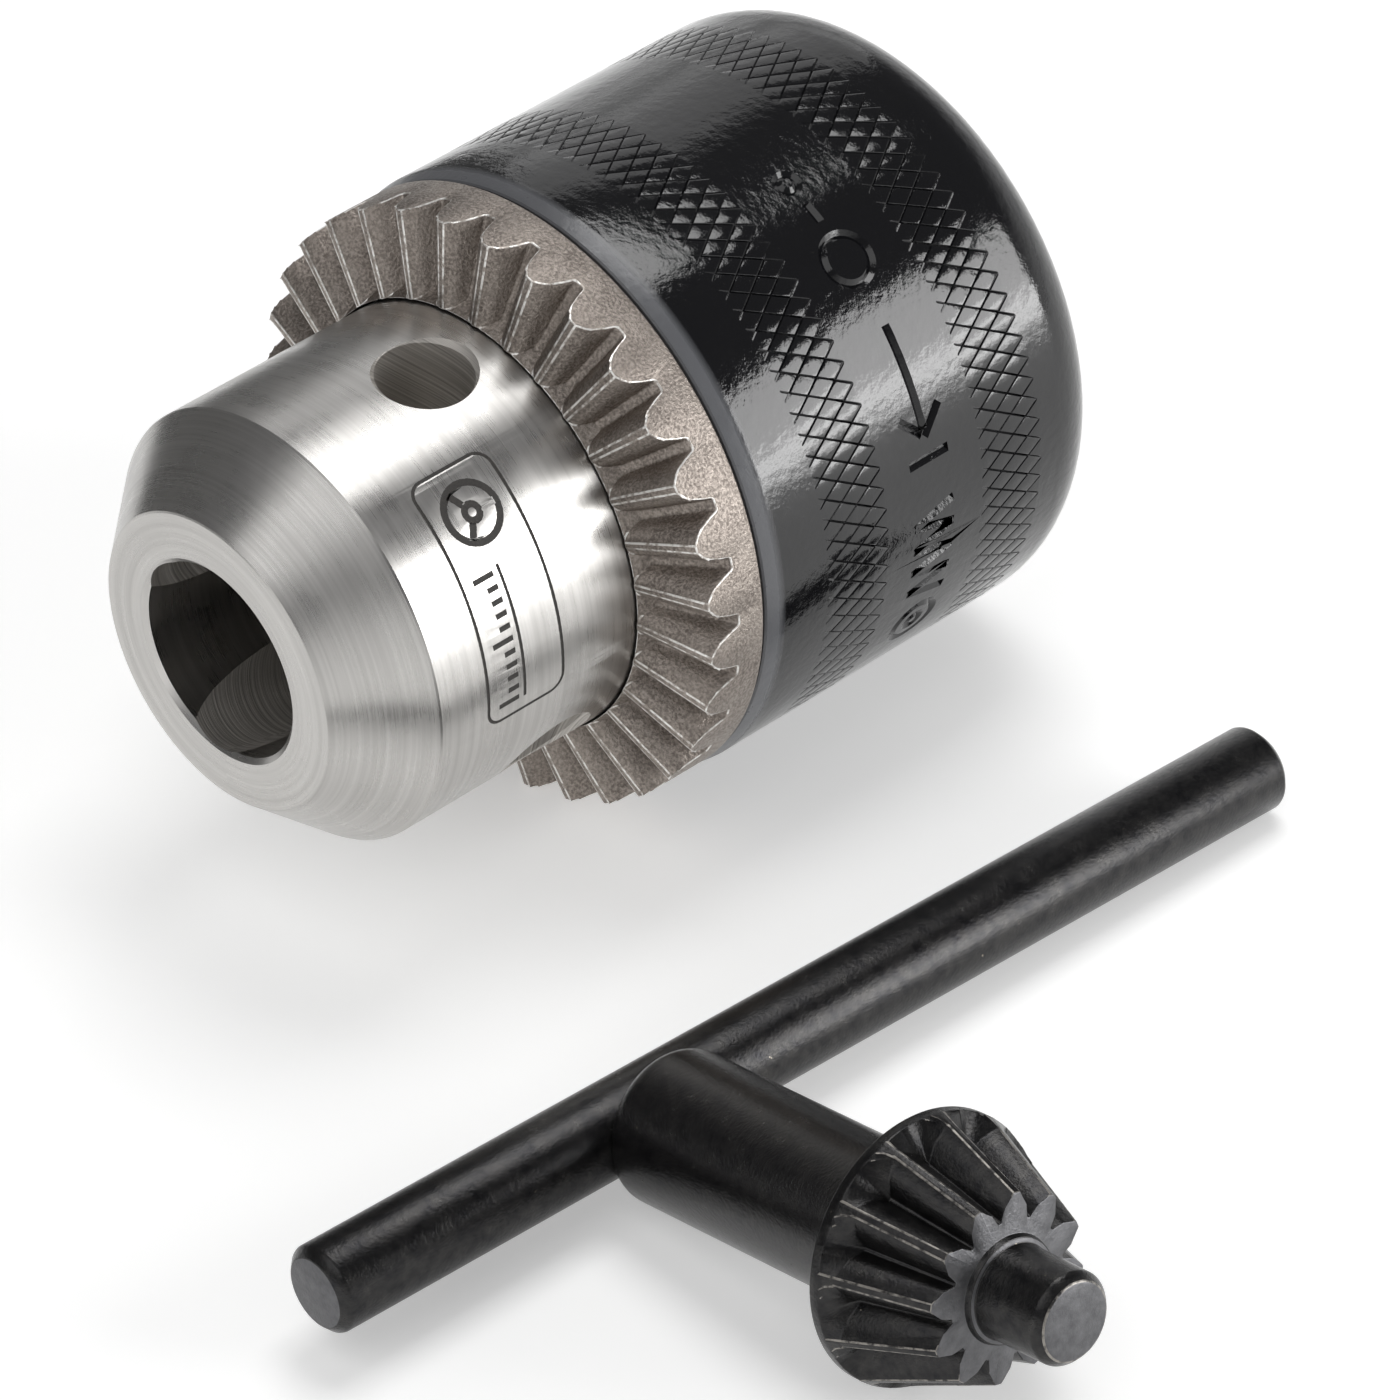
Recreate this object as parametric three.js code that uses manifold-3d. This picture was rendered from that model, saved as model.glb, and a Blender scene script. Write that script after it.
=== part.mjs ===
// Keyed three-jaw drill chuck, 1.5-13 mm capacity, with its separate T-handled key.
// Millimetres, +Z up. The chuck lies on its sleeve with its axis along Y and its nose towards -Y;
// the key lies beside it on the +X side, on the same surface (z = 0).
import * as THREE from 'three';
import { mergeVertices } from 'three/addons/utils/BufferGeometryUtils.js';
import { ConvexGeometry } from 'three/addons/geometries/ConvexGeometry.js';
import Module from 'manifold-3d';

const wasm = await Module();
wasm.setup();

const TAU = Math.PI * 2;
const rad = THREE.MathUtils.degToRad;

// ---- driving dimensions: lengths along the chuck are measured from the nose face ----
const GAP = 0.3;                     // clearance kept between neighbouring pieces

const SLEEVE_R = 21.5;               // outside of the knurled sleeve
const SLEEVE = { front: 28.0, bevelR: 21.15, bevel: 1.2, rear: 60.0, edge: 5.5, bore: 19.4, lipR: 15.8, lip: 1.7 };

const NOSE = { r: 15.26, faceR: 10.5, cone: 5.4 };
const BORE = { r: 6.9, chamfer: 0.35, depth: 30.0 };
const SCREW_HOLE_R = 3.25;           // passage for the spindle's retaining screw
const SPINDLE = { r: 5.75, mouthR: 6.6, depth: 16.6 };   // 1/2 in - 20 UNF, drawn at its minor diameter
const GROOVE = { front: 25.9, rear: 32.7, r: 13.2 };     // turned groove that holds the split nut
const COLLAR = { r: 19.0, rear: 55.0, backR: 16.8, back: 57.3 };
const HUB = { r: 13.0, rear: 59.6 };

const KEY_HOLE = { count: 3, at: 16.83, r: 3.25, mouthR: 3.5, mouth: 0.35, floorR: 8.9, azimuth: 9.15 };

// The jaws slide in bores that lean towards the nose; a jaw's centre line is at radius
// JAW.start + tan(JAW.lean) * distance from the nose face.
const JAW = { r: 3.6, lean: 14, start: 3.2, length: 36, azimuth: 69.15 };
const JAW_OPEN_TIP = 20.1;           // tip of a fully open jaw, behind the nose face
const JAW_OPENING = 6.75;            // radius of the grip when fully open
const RACK = { pitch: 1.8, depth: 0.85, clear: 8.2, flat: 0.35 };

const NUT = { r: 18.3, front: 26.2, rear: 32.4, split: 33 };

const GEAR = { teeth: 32, r: 21.3, bore: 15.6, phase: 4.5, back: 27.7, skirtR: 19.9, pocketR: 18.6, skirtEnd: 32.4 };
const GEAR_CREST = { inner: 22.1, outer: 23.1 };         // tooth tips at the bore and at the rim
const GEAR_FLOOR = { innerR: 16.0, inner: 23.5, outer: 25.5 };
// Half of a tooth's rounded section at the rim, as [half width, share of the tooth's depth].
const GEAR_TOOTH = [[0.3, 0], [0.73, 0.15], [1.09, 0.33], [1.4, 0.63], [1.68, 1]];

const KEY = { r: 5.1, rear: 2.1, edge: 1.4, rimR: 8.81, rim: 25.6, rimWidth: 0.7, front: 33.4 };
const PINION = { teeth: 12, frontR: 6.15, floorR: 4.5, phase: 14.5, heelR: 6.3, heel: 27.3, crest: 0.25 };
const PILOT = { r: 3.02, shoulderR: 3.5, shoulder: 0.4, end: 39.25, chamfer: 0.55 };
const HANDLE = { r: 2.97, from: -26.3, to: 53.9, chamfer: 0.75 };
// Where the handle crosses the key's axis, and how the key leans on its rim, heel and handle end.
const KEY_PLACE = { x: 36.5, y: 1.65, z: 4.46, yaw: -1.94, lift: 9.56, tip: -1.59 };

// ---- geometry helpers ----

// Vertices merged and degenerate triangles dropped, so that the surface is one closed skin.
function skin(geometry) {
  const bare = geometry.clone();
  bare.deleteAttribute('normal');
  bare.deleteAttribute('uv');
  const merged = mergeVertices(bare, 1e-4);
  const index = merged.index.array;
  const kept = [];
  for (let i = 0; i < index.length; i += 3) {
    const [a, b, c] = [index[i], index[i + 1], index[i + 2]];
    if (a !== b && b !== c && c !== a) kept.push(a, b, c);
  }
  merged.setIndex(kept);
  return signedVolume(merged) < 0 ? flipped(merged) : merged;
}

function signedVolume(geometry) {
  const p = geometry.attributes.position;
  const index = geometry.index.array;
  const [a, b, c] = [new THREE.Vector3(), new THREE.Vector3(), new THREE.Vector3()];
  let volume = 0;
  for (let i = 0; i < index.length; i += 3) {
    a.fromBufferAttribute(p, index[i]);
    b.fromBufferAttribute(p, index[i + 1]);
    c.fromBufferAttribute(p, index[i + 2]);
    volume += a.dot(b.cross(c)) / 6;
  }
  return volume;
}

function flipped(geometry) {
  const index = geometry.index.array;
  for (let i = 0; i < index.length; i += 3) [index[i], index[i + 1]] = [index[i + 1], index[i]];
  return geometry;
}

function solid(geometry) {
  const clean = skin(geometry);
  return new wasm.Manifold(new wasm.Mesh({
    numProp: 3,
    vertProperties: new Float32Array(clean.attributes.position.array),
    triVerts: new Uint32Array(clean.index.array),
  }));
}

function geometryOf(manifold) {
  const mesh = manifold.getMesh();
  const geometry = new THREE.BufferGeometry();
  geometry.setAttribute('position', new THREE.BufferAttribute(mesh.vertProperties, 3));
  geometry.setIndex(new THREE.BufferAttribute(mesh.triVerts, 1));
  geometry.computeVertexNormals();
  return geometry;
}

const subtractAll = (body, cutters) => cutters.reduce((rest, cutter) => rest.subtract(cutter), body);

// A body of revolution about Y from [radius, distance] pairs.
function turned(profile, segments = 48) {
  return new THREE.LatheGeometry(profile.map(([r, y]) => new THREE.Vector2(r, y)), segments);
}

const ring = (profile, segments) => turned([...profile, profile[0]], segments);

// A round edge between two directions, as [radius, distance] pairs about the centre (r, y).
function arc(r, y, size, from, to, steps) {
  return Array.from({ length: steps + 1 }, (_, i) => {
    const a = rad(from + (to - from) * i / steps);
    return [r + size * Math.cos(a), y + size * Math.sin(a)];
  });
}

// Azimuth is counted about Y from +Z towards +X, at radius r and distance y from the nose.
function polar(r, azimuth, y) {
  return new THREE.Vector3(r * Math.sin(azimuth), y, r * Math.cos(azimuth));
}

// ---- chuck body: nose, nut groove, collar and hub in one turned piece ----

function jawCentreRadius(distance) {
  return JAW.start + Math.tan(rad(JAW.lean)) * distance;
}

// Placement of a shape built along +Y so that it runs up a jaw's centre line from the given distance.
function alongJaw(distance) {
  const lean = new THREE.Matrix4().makeRotationX(rad(JAW.lean));
  return lean.setPosition(0, distance, jawCentreRadius(distance));
}

function aroundAxis(azimuth) {
  return new THREE.Matrix4().makeRotationY(azimuth);
}

function jawBore(index) {
  const length = 75;
  const bore = new THREE.CylinderGeometry(JAW.r + GAP, JAW.r + GAP, length, 28);
  bore.translate(0, length / 2, 0).applyMatrix4(alongJaw(-4));
  return bore.applyMatrix4(aroundAxis(rad(JAW.azimuth) + index * TAU / 3));
}

function keyHole(index) {
  const profile = [[0, KEY_HOLE.floorR - 1.4], [KEY_HOLE.r, KEY_HOLE.floorR], [KEY_HOLE.r, NOSE.r - KEY_HOLE.mouth],
    [KEY_HOLE.mouthR, NOSE.r], [KEY_HOLE.mouthR, NOSE.r + 3], [0, NOSE.r + 3]];
  const hole = turned(profile, 32).rotateX(Math.PI / 2).translate(0, KEY_HOLE.at, 0);
  return hole.applyMatrix4(aroundAxis(rad(KEY_HOLE.azimuth) + index * TAU / KEY_HOLE.count));
}

function chuckBody() {
  const threadFrom = HUB.rear - SPINDLE.depth;
  const profile = [
    [BORE.r + BORE.chamfer, 0], [NOSE.faceR, 0], [NOSE.r, NOSE.cone], [NOSE.r, GROOVE.front],
    [GROOVE.r, GROOVE.front], [GROOVE.r, GROOVE.rear], [COLLAR.r, GROOVE.rear], [COLLAR.r, COLLAR.rear],
    [COLLAR.backR, COLLAR.back], [HUB.r, COLLAR.back], [HUB.r, HUB.rear - 0.4], [HUB.r - 0.4, HUB.rear],
    [SPINDLE.mouthR, HUB.rear], [SPINDLE.r, HUB.rear - 0.9], [SPINDLE.r, threadFrom],
    [SCREW_HOLE_R, threadFrom - 1.2], [SCREW_HOLE_R, BORE.depth + 2], [BORE.r, BORE.depth], [BORE.r, BORE.chamfer],
  ];
  const cutters = [0, 1, 2].flatMap((i) => [solid(jawBore(i)), solid(keyHole(i))]);
  return geometryOf(subtractAll(solid(ring(profile, 48)), cutters));
}

// ---- jaws: round rods with a wedge grip at the tip and a rack for the nut on the outside ----

// Everything inside the two grip planes, which meet at 120 degrees on a line parallel to the axis.
function gripCutter() {
  const [near, far] = [JAW_OPEN_TIP - 8, JAW_OPEN_TIP + 60];
  const depth = 12;
  const side = depth * 1.5;
  const shoulder = JAW_OPENING + side / Math.tan(rad(60));
  const outline = new THREE.Shape([
    new THREE.Vector2(0, JAW_OPENING), new THREE.Vector2(side, shoulder), new THREE.Vector2(side, -depth),
    new THREE.Vector2(-side, -depth), new THREE.Vector2(-side, shoulder),
  ]);
  const block = new THREE.ExtrudeGeometry(outline, { depth: far - near, bevelEnabled: false });
  return block.rotateX(Math.PI / 2).translate(0, far, 0);
}

// One V-groove of the rack, across the outer side of a jaw, at a distance along it.
function rackGroove(along) {
  const half = RACK.pitch / 2 - RACK.flat / 2;
  const top = JAW.r + 0.6;
  const reach = half * (top - JAW.r + RACK.depth) / RACK.depth;
  const outline = new THREE.Shape([
    new THREE.Vector2(JAW.r - RACK.depth, 0), new THREE.Vector2(top, reach), new THREE.Vector2(top, -reach),
  ]);
  const groove = new THREE.ExtrudeGeometry(outline, { depth: 2 * JAW.r, bevelEnabled: false });
  return groove.translate(0, along, -JAW.r).rotateY(-Math.PI / 2);
}

function jaw(index) {
  const rod = solid(new THREE.CylinderGeometry(JAW.r, JAW.r, JAW.length, 28).translate(0, JAW.length / 2, 0));
  const grooves = [];
  for (let along = RACK.clear; along < JAW.length - RACK.pitch / 2; along += RACK.pitch) {
    grooves.push(solid(rackGroove(along)));
  }
  const placed = geometryOf(subtractAll(rod, grooves)).applyMatrix4(alongJaw(JAW_OPEN_TIP));
  // The tip is faced off square to the chuck and bevelled; the rear end is trimmed inside the sleeve.
  const envelope = turned([
    [0, JAW_OPEN_TIP], [JAW_OPENING + 3.0, JAW_OPEN_TIP], [COLLAR.r - 0.2, JAW_OPEN_TIP + 9], [COLLAR.r - 0.2, SLEEVE.rear],
    [0, SLEEVE.rear],
  ], 48);
  const shaped = solid(placed).subtract(solid(gripCutter())).intersect(solid(envelope));
  return geometryOf(shaped).applyMatrix4(aroundAxis(rad(JAW.azimuth) + index * TAU / 3));
}

// ---- split nut ----

function nutHalf(side) {
  const bore = (y) => jawCentreRadius(y) + JAW.r / Math.cos(rad(JAW.lean)) + GAP;
  const profile = [[bore(NUT.front), NUT.front], [NUT.r, NUT.front], [NUT.r, NUT.rear], [bore(NUT.rear), NUT.rear]];
  const half = new THREE.BoxGeometry(60, 20, 30);
  half.translate(0, (NUT.front + NUT.rear) / 2, side * (15 + GAP / 2)).applyMatrix4(aroundAxis(rad(NUT.split)));
  return geometryOf(solid(ring(profile, 48)).intersect(solid(half)));
}

// ---- ring gear: face teeth towards the nose, a rear skirt that closes over the nut ----

function gearTooth(index) {
  const azimuth = rad(GEAR.phase) + index * TAU / GEAR.teeth;
  const buried = 0.6;                // how far a tooth reaches into the ring, so that the two join
  const buriedHalf = 1.85;           // and how wide it has become there
  const floorSlope = (GEAR_FLOOR.outer - GEAR_FLOOR.inner) / (GEAR.r - GEAR_FLOOR.innerR);
  const points = [];
  for (const [r, crest] of [[GEAR.bore, GEAR_CREST.inner], [GEAR.r, GEAR_CREST.outer]]) {
    const depth = GEAR_FLOOR.inner + (r - GEAR_FLOOR.innerR) * floorSlope - crest;
    const section = [...GEAR_TOOTH.map(([half, share]) => [half, share * depth]), [buriedHalf, depth + buried]];
    for (const [half, drop] of section) {
      for (const side of [-1, 1]) points.push(polar(r, azimuth + side * half / GEAR.r, crest + drop));
    }
  }
  return new ConvexGeometry(points);
}

function ringGear() {
  const profile = [
    [GEAR.bore, GEAR_CREST.inner + 0.4], [GEAR_FLOOR.innerR, GEAR_FLOOR.inner], [GEAR.r, GEAR_FLOOR.outer],
    [GEAR.r, GEAR.back], [GEAR.skirtR, GEAR.back], [GEAR.skirtR, GEAR.skirtEnd], [GEAR.pocketR, GEAR.skirtEnd],
    [GEAR.pocketR, GROOVE.front], [GEAR.bore, GROOVE.front],
  ];
  const teeth = Array.from({ length: GEAR.teeth }, (_, i) => solid(gearTooth(i)));
  return geometryOf(teeth.reduce((whole, tooth) => whole.add(tooth), solid(ring(profile, 64))));
}

// ---- knurled sleeve: a plain shell with a rounded rear edge ----

function knurledSleeve() {
  const { front, bevelR, bevel, rear, edge, bore, lipR, lip } = SLEEVE;
  const seatR = GEAR.skirtR + GAP;
  const seatEnd = GEAR.skirtEnd + GAP;
  const profile = [
    [bevelR, front], [SLEEVE_R, front + bevel], ...arc(SLEEVE_R - edge, rear - edge, edge, 0, 88, 6),
    [lipR, rear - 0.3], [lipR, rear - lip], [bore - 1.9, rear - lip], [bore, rear - lip - 2.2],
    [bore, seatEnd], [seatR, seatEnd], [seatR, front],
  ];
  return skin(ring(profile, 72));
}

// ---- key: shaft, bevel pinion and pilot are one piece; the handle is a plain bar ----

// Shapes of the key are turned about Y and then laid along the key's own +X.
const layAlongX = (geometry) => geometry.rotateZ(-Math.PI / 2);

function keyPoint(r, azimuth, along) {
  return new THREE.Vector3(along, r * Math.cos(azimuth), r * Math.sin(azimuth));
}

function pinionGap(index) {
  const middle = rad(PINION.phase) + (index + 0.5) * TAU / PINION.teeth;
  const beyond = 1.2;                // the cutter runs out past the front face and above the teeth
  const floorSlope = (PINION.floorR - PINION.heelR) / (KEY.front - PINION.heel);
  const crestFrom = KEY.rim + KEY.rimWidth;
  const crestSlope = (PINION.frontR - KEY.rimR) / (KEY.front - crestFrom);
  const points = [
    keyPoint(PINION.heelR, middle, PINION.heel),
    keyPoint(PINION.floorR + floorSlope * beyond, middle, KEY.front + beyond),
  ];
  for (const [along, r] of [[crestFrom, KEY.rimR], [KEY.front + beyond, PINION.frontR + crestSlope * beyond]]) {
    const half = Math.PI / PINION.teeth - PINION.crest / r;
    for (const side of [-1, 1]) {
      points.push(keyPoint(r, middle + side * half, along));
      points.push(keyPoint(r * 1.35, middle + side * half * 1.12, along + 0.2));
    }
  }
  return new ConvexGeometry(points);
}

function keyBody() {
  const rim = [[KEY.rimR - 0.3, KEY.rim - 0.3], [KEY.rimR, KEY.rim], [KEY.rimR, KEY.rim + KEY.rimWidth]];
  const profile = [
    [0, KEY.rear], ...arc(KEY.r - KEY.edge, KEY.rear + KEY.edge, KEY.edge, -90, 0, 4), [KEY.r, KEY.rim - 0.8], ...rim,
    [PINION.frontR, KEY.front], [PILOT.shoulderR, KEY.front], [PILOT.shoulderR, KEY.front + PILOT.shoulder],
    [PILOT.r, KEY.front + PILOT.shoulder], [PILOT.r, PILOT.end - PILOT.chamfer], [PILOT.r - PILOT.chamfer, PILOT.end],
    [0, PILOT.end],
  ];
  const seat = new THREE.CylinderGeometry(HANDLE.r + GAP, HANDLE.r + GAP, 4 * KEY.r, 40);
  const gaps = Array.from({ length: PINION.teeth }, (_, i) => solid(pinionGap(i)));
  return geometryOf(subtractAll(solid(layAlongX(turned(profile, 48))), [solid(seat), ...gaps]));
}

function keyHandle() {
  const { r, from, to, chamfer } = HANDLE;
  const profile = [
    [0, from], [r * 0.62, from + 0.06], [r * 0.86, from + 0.3 * chamfer], [r, from + chamfer],
    [r, to - chamfer], [r * 0.86, to - 0.3 * chamfer], [r * 0.62, to - 0.06], [0, to],
  ];
  return skin(turned(profile, 32));
}

// ---- assembly ----

function finish(color, roughness, metalness) {
  return new THREE.MeshStandardMaterial({ color, roughness, metalness });
}

function piece(name, geometry, material) {
  const mesh = new THREE.Mesh(geometry, material);
  mesh.name = name;
  return mesh;
}

const chuck = new THREE.Group();
chuck.position.set(0, 0, SLEEVE_R);
chuck.add(piece('chuck_body', chuckBody(), finish(0xb9b8b4, 0.32, 1)));
for (let i = 0; i < 3; i += 1) chuck.add(piece(`jaw_${i + 1}`, jaw(i), finish(0x77736e, 0.45, 1)));
chuck.add(piece('nut_half_a', nutHalf(1), finish(0x8b877f, 0.5, 1)));
chuck.add(piece('nut_half_b', nutHalf(-1), finish(0x8b877f, 0.5, 1)));
chuck.add(piece('ring_gear', ringGear(), finish(0x867c74, 0.6, 1)));
chuck.add(piece('knurled_sleeve', knurledSleeve(), finish(0x17181a, 0.22, 0.3)));

const key = new THREE.Group();
key.position.set(KEY_PLACE.x, KEY_PLACE.y, KEY_PLACE.z);
key.rotation.set(rad(KEY_PLACE.tip), rad(-KEY_PLACE.lift), rad(KEY_PLACE.yaw), 'ZYX');
key.add(piece('key_body', keyBody(), finish(0x242323, 0.4, 0.9)));
key.add(piece('key_handle', keyHandle(), finish(0x2a2828, 0.38, 0.9)));

// The origin is the middle of the footprint, on the surface that both pieces lie on.
const part = new THREE.Group();
part.add(chuck, key);
part.updateMatrixWorld(true);
const box = new THREE.Box3().setFromObject(part, true);
const middle = box.getCenter(new THREE.Vector3());
part.position.set(-middle.x, -middle.y, -box.min.z);

export default part;
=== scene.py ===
"""A keyed three-jaw drill chuck and its T-handled key, lying on a pale table."""
from math import cos, hypot, pi, radians, sin, tan

import bpy
from mathutils import Matrix, Vector


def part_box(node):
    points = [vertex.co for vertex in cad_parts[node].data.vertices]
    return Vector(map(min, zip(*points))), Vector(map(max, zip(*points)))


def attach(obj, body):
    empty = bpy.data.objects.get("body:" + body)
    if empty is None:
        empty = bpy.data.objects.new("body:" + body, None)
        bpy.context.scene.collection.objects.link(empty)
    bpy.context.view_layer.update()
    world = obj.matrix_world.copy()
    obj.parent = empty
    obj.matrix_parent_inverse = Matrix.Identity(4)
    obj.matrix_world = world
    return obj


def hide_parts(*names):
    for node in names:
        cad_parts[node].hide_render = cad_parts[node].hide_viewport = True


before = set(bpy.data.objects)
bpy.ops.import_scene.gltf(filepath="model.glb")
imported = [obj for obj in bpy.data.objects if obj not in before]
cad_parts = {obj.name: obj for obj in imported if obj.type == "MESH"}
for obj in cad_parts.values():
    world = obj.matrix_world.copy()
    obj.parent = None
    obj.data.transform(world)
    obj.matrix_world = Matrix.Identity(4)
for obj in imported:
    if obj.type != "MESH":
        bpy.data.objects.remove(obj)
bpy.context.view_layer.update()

MM = 0.001
TAU = 2 * pi

# ---- where things are: the chuck's own frame has its nose face at the origin and its axis along +Y ----
sleeve_low, sleeve_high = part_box("knurled_sleeve")
AXIS_X = (sleeve_low.x + sleeve_high.x) / 2
AXIS_Z = (sleeve_low.z + sleeve_high.z) / 2
NOSE_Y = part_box("chuck_body")[0].y
CHUCK = Matrix.Translation((AXIS_X, NOSE_Y, AXIS_Z))

# The key's own frame has its shaft along +Y and the handle across it, along +X, through the origin.
KEY_YAW, KEY_LIFT, KEY_TIP = radians(-1.94), radians(9.56), radians(-1.59)
HANDLE_FROM, HANDLE_TO = -26.3, 53.9
KEY_TURN = (Matrix.Rotation(KEY_YAW, 4, "Z") @ Matrix.Rotation(-KEY_LIFT, 4, "Y")
            @ Matrix.Rotation(KEY_TIP, 4, "X"))
handle_low, handle_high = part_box("key_handle")
handle_middle = (handle_low + handle_high) / 2
key_cross = handle_middle - KEY_TURN @ Vector((0, (HANDLE_FROM + HANDLE_TO) / 2 * MM, 0))
SHAFT_ALONG_Y = Matrix.Rotation(radians(-90), 4, "Z") @ Matrix.Rotation(pi, 4, "Y")
KEY = Matrix.Translation(key_cross) @ KEY_TURN @ SHAFT_ALONG_Y

# ---- sizes in mm; lengths along the chuck count from its nose face, along the key from its handle ----
SLEEVE_R = 21.5
SLEEVE = {"front": 28.0, "bevel_r": 21.15, "bevel": 1.2, "rear": 60.0, "edge": 5.5, "bore": 19.4,
          "seat_r": 20.2, "seat": 32.7, "hole_r": 15.8, "wall": 1.7, "inner_r": 17.5, "inner_bevel": 3.9}
KNURL = {"count": 90, "slant": 31.5, "first": 0.65, "step": 1.22, "rows": 4, "groove": 0.08, "depth": 0.12,
         "crown": 0.015, "crown_inset": 0.07}
KNURL_BANDS = (33.25, 47.3)          # where each knurled band starts
KNURL_PHASE = 2.9                    # azimuth of a groove's front end
STAMPS = {"width": 0.68, "depth": 0.24, "middle": 42.9, "half": 1.75, "small_r": 0.7, "dot_r": 0.6,
          "zigzag": 8, "zigzag_step": 0.95}
STAMP_AZIMUTH = {"small": 24, "dash": 29, "dash_end": 33, "large": 41, "tail": 54, "tip": 75, "bar": 79,
                 "zigzag": 89, "ringed": 117}

NOSE = {"r": 15.26, "face_r": 10.5, "cone": 5.4, "bore": 6.9, "bore_depth": 30.0, "lip": 0.3}
BODY = {"groove": 25.9, "groove_r": 13.2, "collar": 32.7, "collar_r": 19.0, "collar_end": 55.0,
        "taper_r": 16.8, "hub": 57.3, "hub_r": 13.0, "rear": 59.6, "chamfer": 0.4, "socket_r": 6.6}
PASSAGE = {"r": 3.25, "front": 32.0, "rear": 41.9, "socket_floor": 43.4}
KEY_HOLE = {"azimuth": 9.15, "at": 16.83, "r": 3.25, "mouth": 3.62, "floor": 8.9, "point": 1.4}
JAW = {"r": 3.6, "bore": 3.8, "lean": 14.0, "start": 3.2, "azimuth": 69.15, "tip": 20.1, "opening": 6.75,
       "length": 36.0, "back": 18.7, "land": 3.2, "land_angle": 40, "edge": 0.12}
RACK = {"pitch": 1.8, "depth": 0.85, "clear": 8.2, "root": 0.06, "reach": 4, "over": 0.6, "flare": 0.4}
THREAD = {"minor": 5.75, "major": 6.3, "pitch": 1.27, "turns": 12, "start": 58.9}
THREAD_FORM = {"crest": 0.16, "flank": 0.68, "root": 0.78}
ETCHING = {"corner": 1.1, "thin": 0.24, "thick": 0.5, "tick_width": 0.38, "depth": 0.03}
ETCHED_FRAME = (9.15, 9.4, 26.6, 15.8)          # from and to, round the nose and along it
ETCHED_SIGN = {"u": 12.4, "v": 12.6, "ring": 2.0, "hub": 0.55, "spoke_from": 0.7, "spoke_to": 1.85}
ETCHED_SCALE = {"line": 12.5, "from": 16.0, "to": 25.6, "first": 16.4, "step": 0.9, "ticks": 11, "top": 12.0,
                "short": 11.1, "long": 10.3}

GEAR = {"teeth": 32, "r": 21.3, "bore": 15.42, "phase": 4.5, "back": 27.7, "skirt_r": 19.9,
        "skirt_bore": 18.6, "skirt": 32.4, "web": 25.9, "edge": 0.08}
GEAR_FLOOR = {"inner_r": 16.0, "inner": 23.5, "outer": 25.55, "cone": 0.42}
GEAR_CREST = {"inner": 22.05, "outer": 23.1}
# Half the width of a tooth at the rim, at shares of the way from its crest to the floor.
GEAR_TOOTH = ((0.24, -0.5), (0.26, 0.0), (0.73, 0.15), (1.09, 0.33), (1.4, 0.63), (1.64, 0.94), (1.76, 1.0))

KEY_BODY = {"r": 5.1, "rear": 2.1, "edge": 1.4, "rim_r": 8.81, "rim": 25.6, "rim_width": 0.7, "front": 33.4}
PINION = {"teeth": 12, "front_r": 6.15, "floor_r": 4.5, "heel_r": 6.3, "heel": 27.3, "crest": 0.25,
          "azimuth": 119.5, "edge": 0.08}
PILOT = {"r": 3.02, "shoulder_r": 3.5, "shoulder": 0.4, "end": 39.25, "chamfer": 0.55}
HANDLE = {"r": 2.97, "chamfer": 0.6}
AXIS_R = 0.05                        # a turned piece without a hole starts this close to its axis

FINE, COARSE, SMALL = 256, 128, 96   # how many segments a turned piece has
KEY_SEGMENTS = 144
SAME_PLACE = 0.0005                  # points closer than this are one point
SLIVER = 0.03                        # and slivers as thin as this are merged away before edges are rounded
CLEAR = 0.02                         # the key hole's countersink starts this far under the nose's surface


# ---- modelling by hand ----

def deselect():
    for piece in list(bpy.context.selected_objects):
        piece.select_set(False)


def pick(piece):
    deselect()
    bpy.context.view_layer.objects.active = piece
    piece.select_set(True)


def edit(piece, select="SELECT"):
    pick(piece)
    bpy.ops.object.mode_set(mode="EDIT")
    bpy.ops.mesh.select_mode(type="VERT")
    bpy.ops.mesh.select_all(action=select)


def edit_where(piece, chosen):
    """Edit mode with only those vertices selected whose place, in mm, passes the test."""
    edit(piece, "DESELECT")
    bpy.ops.object.mode_set(mode="OBJECT")
    for vertex in piece.data.vertices:
        vertex.select = chosen(vertex.co / MM)
    bpy.ops.object.mode_set(mode="EDIT")


def leave():
    bpy.ops.object.mode_set(mode="OBJECT")


def clean(piece):
    """Doubles merged, open ends closed, faces pointing out."""
    edit(piece)
    bpy.ops.mesh.remove_doubles(threshold=SAME_PLACE * MM)
    bpy.ops.mesh.fill_holes(sides=0)
    bpy.ops.mesh.select_all(action="SELECT")
    bpy.ops.mesh.normals_make_consistent(inside=False)
    leave()
    return piece


def pull(profile):
    """The selected ring about +Y is pulled from the first point of the profile to each of the others."""
    radius, distance = profile[0]
    for next_radius, next_distance in profile[1:]:
        bpy.ops.mesh.extrude_region_move(
            TRANSFORM_OT_translate={"value": (0, (next_distance - distance) * MM, 0)})
        grow = next_radius / radius
        bpy.ops.transform.resize(value=(grow, 1, grow), center_override=(0, next_distance * MM, 0))
        radius, distance = next_radius, next_distance


def turned(name, profile, steps):
    """A body turned about +Y from a profile of (radius, distance) in mm."""
    radius, distance = profile[0]
    deselect()
    bpy.ops.mesh.primitive_circle_add(vertices=steps, radius=radius * MM, location=(0, distance * MM, 0),
                                      rotation=(radians(90), 0, 0))
    piece = bpy.context.object
    piece.name = name
    bpy.ops.object.transform_apply()
    edit(piece)
    pull(profile)
    leave()
    return clean(piece)


def closed(profile):
    """A profile that returns to its start, for a piece with a hole through it."""
    return [*profile, profile[0]]


def arc(radius, distance, size, start, stop, steps):
    """Points of a rounded edge about (radius, distance), from one direction to another in degrees."""
    turns = [radians(start + (stop - start) * i / steps) for i in range(steps + 1)]
    return [(radius + size * cos(a), distance + size * sin(a)) for a in turns]


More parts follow.
